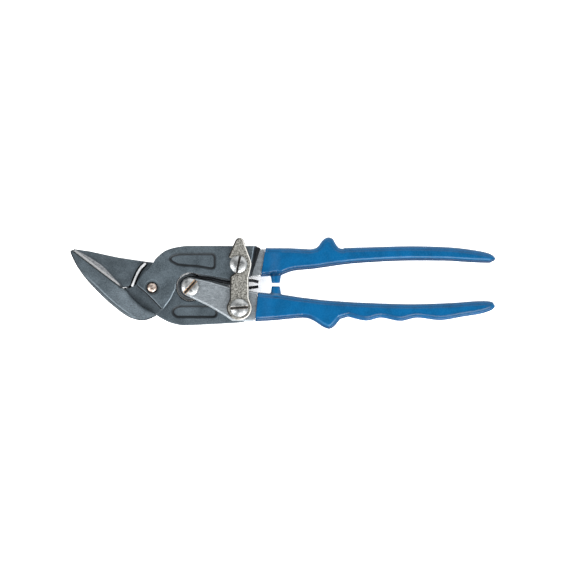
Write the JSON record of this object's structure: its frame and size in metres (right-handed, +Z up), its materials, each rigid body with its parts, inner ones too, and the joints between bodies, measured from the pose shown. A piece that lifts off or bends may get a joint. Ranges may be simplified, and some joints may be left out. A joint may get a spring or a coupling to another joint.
{
  "type": "aviation snips",
  "caption": "Offset compound-leverage aviation snips with forged blades, coated handles, a swinging latch and a return spring",
  "frame": {"origin": "middle of the overall box in X and Y, on the lowest face, which is the head of the main pivot bolt", "axes": "+X runs from the blade tips to the handle ends, +Y from the lower handle to the upper handle, +Z up out of the flat side that carries the slotted screws and the latch"},
  "size_m": [0.26, 0.0564, 0.0227],
  "materials": {
    "forging": "fine-grained dark blue-grey coat on forged steel",
    "bar_steel": "bare satin steel",
    "handle_coat": "glossy blue dipped plastic",
    "hardware": "bright zinc-plated steel",
    "pivot_bolt": "copper-tinted peened steel",
    "latch_plate": "warm grey grained steel plate",
    "spring_wire": "black oiled spring steel"
  },
  "bodies": {
    "lower_blade": {"lower_blade_lever": "forging", "main_pivot_bolt": "pivot_bolt", "main_pivot_washer": "hardware"},
    "upper_blade": {"upper_blade_lever": "forging"},
    "upper_handle": {"upper_handle_bar": "bar_steel", "upper_handle_grip": "handle_coat", "upper_arm_screw": "hardware", "upper_arm_washer": "hardware", "upper_arm_nut": "hardware", "return_spring": "spring_wire"},
    "lower_handle": {"lower_handle_bar": "bar_steel", "lower_handle_grip": "handle_coat", "lower_arm_screw": "hardware", "lower_arm_washer": "hardware", "lower_arm_nut": "hardware", "handle_pivot_screw": "hardware", "handle_pivot_washer": "hardware", "handle_pivot_nut": "hardware", "latch_washer": "hardware"},
    "latch": {"latch": "latch_plate"}
  },
  "joints": [
    {"name": "handle_pivot", "type": "hinge", "parent": "upper_handle", "child": "lower_handle", "pos_m": [-0.05681, -0.00229, 0.01155], "axis": [0, 0, -1], "range_deg": [0, 26], "deforming": ["return_spring"]},
    {"name": "blade_pivot", "type": "hinge", "parent": "lower_blade", "child": "upper_blade", "pos_m": [-0.08011, -0.0027, 0.01155], "axis": [0, 0, -1], "range_deg": [0, 14.2]},
    {"name": "upper_handle_pivot", "type": "hinge", "parent": "lower_blade", "child": "upper_handle", "pos_m": [-0.02727, 0.01145, 0.01155], "axis": [0, 0, 1], "range_deg": [0, 6]},
    {"name": "latch_pivot", "type": "hinge", "parent": "lower_handle", "child": "latch", "pos_m": [-0.0268, -0.01495, 0.01155], "axis": [0, 0, -1], "range_deg": [0, 50]}
  ],
  "couplings": [
    {"joint": "blade_pivot", "follows": "handle_pivot", "ratio": 0.542},
    {"joint": "upper_handle_pivot", "follows": "handle_pivot", "ratio": 0.228},
    {"joint": "latch_pivot", "follows": "handle_pivot", "ratio": 1.9}
  ]
}
